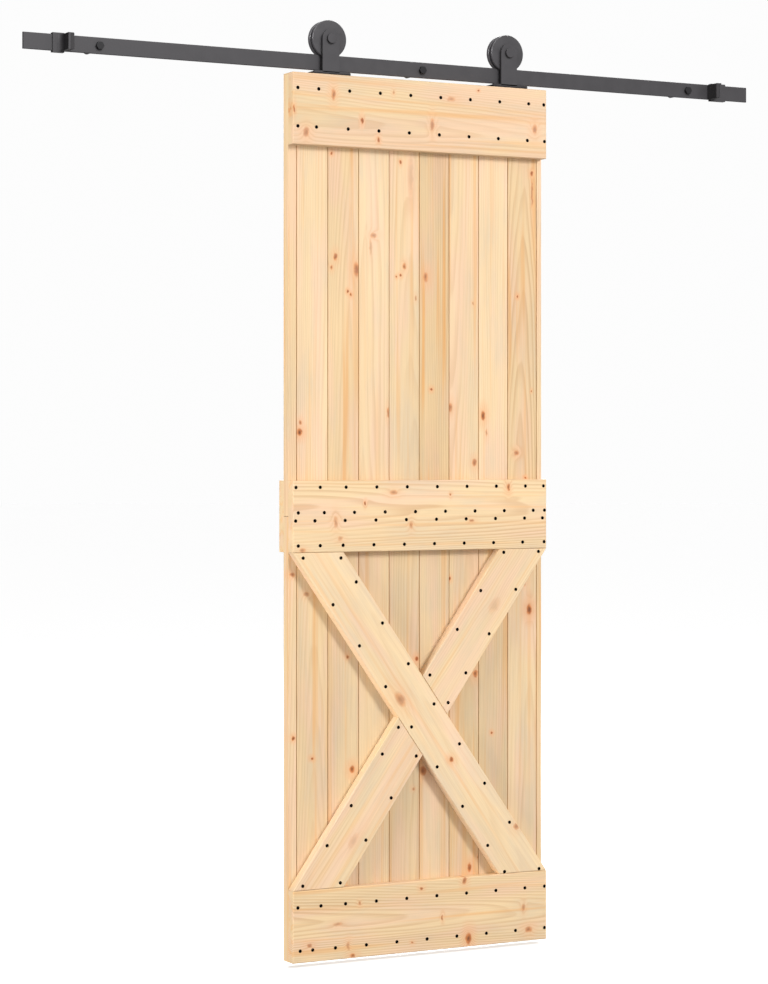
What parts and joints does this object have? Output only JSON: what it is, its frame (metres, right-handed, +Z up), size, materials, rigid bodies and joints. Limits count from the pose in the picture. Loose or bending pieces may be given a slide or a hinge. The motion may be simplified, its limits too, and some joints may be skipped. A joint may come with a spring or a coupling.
{
  "type": "sliding barn door",
  "caption": "Pine sliding barn door leaf with three rails and an X brace, hung by grooved rollers on straps from a flat wall track with end stops.",
  "frame": {"origin": "centre of the middle standoff's face on the wall, on the axis of the middle wall bolt", "axes": "+X along the track to the right as seen from the front, +Y into the wall, +Z up"},
  "size_m": [1.985, 0.1202, 2.2303],
  "materials": {
    "pine_boards": "planed bare pine",
    "pine_rails": "planed bare pine",
    "black_screws": "black phosphate",
    "track_steel": "satin powder coat",
    "wheel_steel": "satin powder coat",
    "fastener_steel": "black oxide",
    "bearing_steel": "ground steel",
    "rubber": "matt"
  },
  "bodies": {
    "track": {"lag_bolts": "fastener_steel", "standoff_left": "track_steel", "standoff_middle": "track_steel", "standoff_right": "track_steel", "stop_bracket_left": "track_steel", "stop_bracket_right": "track_steel", "stop_bumper_left": "rubber", "stop_bumper_right": "rubber", "stop_grub_screws": "fastener_steel", "track_bar": "track_steel"},
    "door": {"axle_bolts": "fastener_steel", "axle_nuts": "fastener_steel", "axle_spacers": "fastener_steel", "bottom_rail": "pine_rails", "bottom_rail_screws": "black_screws", "brace_screws": "black_screws", "hanger_left": "track_steel", "hanger_right": "track_steel", "hanger_screws": "fastener_steel", "long_brace": "pine_rails", "lower_board_1": "pine_boards", "lower_board_10": "pine_boards", "lower_board_2": "pine_boards", "lower_board_3": "pine_boards", "lower_board_4": "pine_boards", "lower_board_5": "pine_boards", "lower_board_6": "pine_boards", "lower_board_7": "pine_boards", "lower_board_8": "pine_boards", "lower_board_9": "pine_boards", "middle_rail": "pine_rails", "middle_rail_screws": "black_screws", "rear_batten": "pine_rails", "short_brace_lower": "pine_rails", "short_brace_upper": "pine_rails", "top_rail": "pine_rails", "top_rail_screws": "black_screws", "upper_board_1": "pine_boards", "upper_board_10": "pine_boards", "upper_board_2": "pine_boards", "upper_board_3": "pine_boards", "upper_board_4": "pine_boards", "upper_board_5": "pine_boards", "upper_board_6": "pine_boards", "upper_board_7": "pine_boards", "upper_board_8": "pine_boards", "upper_board_9": "pine_boards"},
    "wheel_left": {"wheel_left": "wheel_steel", "bearing_left": "bearing_steel"},
    "wheel_right": {"wheel_right": "wheel_steel", "bearing_right": "bearing_steel"}
  },
  "joints": [
    {"name": "door_slide", "type": "slide", "parent": "track", "child": "door", "axis": [1, 0, 0], "range_m": [-0.634, 0.576]},
    {"name": "wheel_left_spin", "type": "hinge", "parent": "door", "child": "wheel_left", "pos_m": [-0.256, -0.076, 0.0563], "axis": [0, 1, 0], "continuous": true},
    {"name": "wheel_right_spin", "type": "hinge", "parent": "door", "child": "wheel_right", "pos_m": [0.236, -0.076, 0.0563], "axis": [0, 1, 0], "continuous": true}
  ],
  "couplings": [
    {"joint": "wheel_left_spin", "follows": "door_slide", "rad_per_m": 27.027},
    {"joint": "wheel_right_spin", "follows": "door_slide", "rad_per_m": 27.027}
  ]
}
